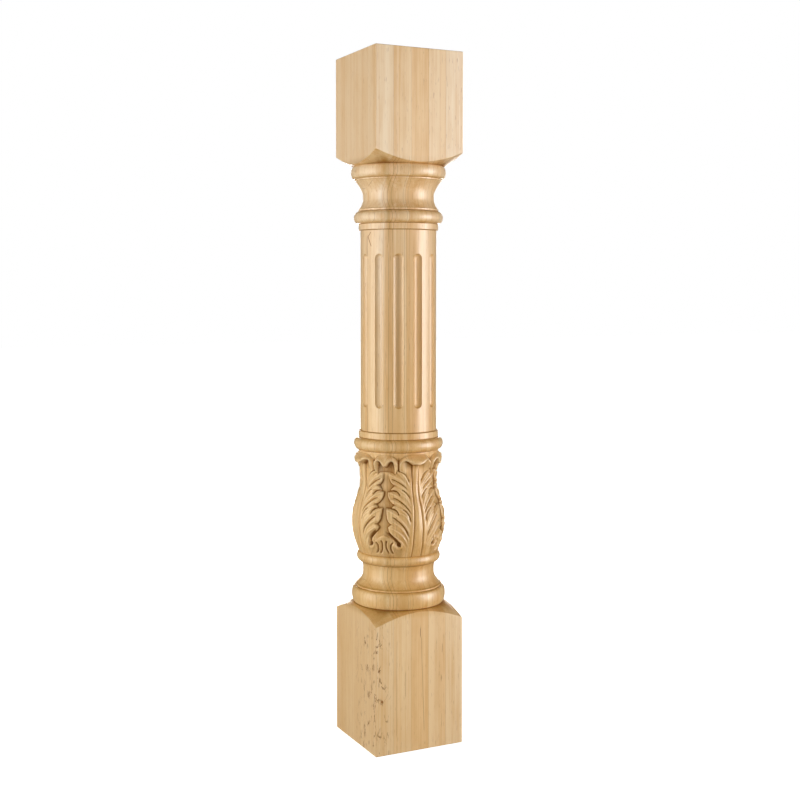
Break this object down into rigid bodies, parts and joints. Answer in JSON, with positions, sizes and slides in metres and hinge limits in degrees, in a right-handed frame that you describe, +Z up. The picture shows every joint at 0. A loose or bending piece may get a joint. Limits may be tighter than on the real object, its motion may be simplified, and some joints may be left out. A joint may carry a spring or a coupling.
{
  "type": "turned post",
  "caption": "Square-ended wooden post with a turned and fluted round shaft and a carved acanthus belt, standing on its foot to carry a counter or a beam end.",
  "frame": {"origin": "middle of the square foot, on the surface that the post stands on", "axes": "+Z up along the post's axis; the sides of the square ends face -X, +X, -Y and +Y, and -Y is the side seen most squarely in the picture"},
  "size_m": [0.127, 0.127, 0.9144],
  "materials": {
    "wood": "sanded bare wood"
  },
  "bodies": {
    "root": {"post": "wood"}
  },
  "joints": []
}
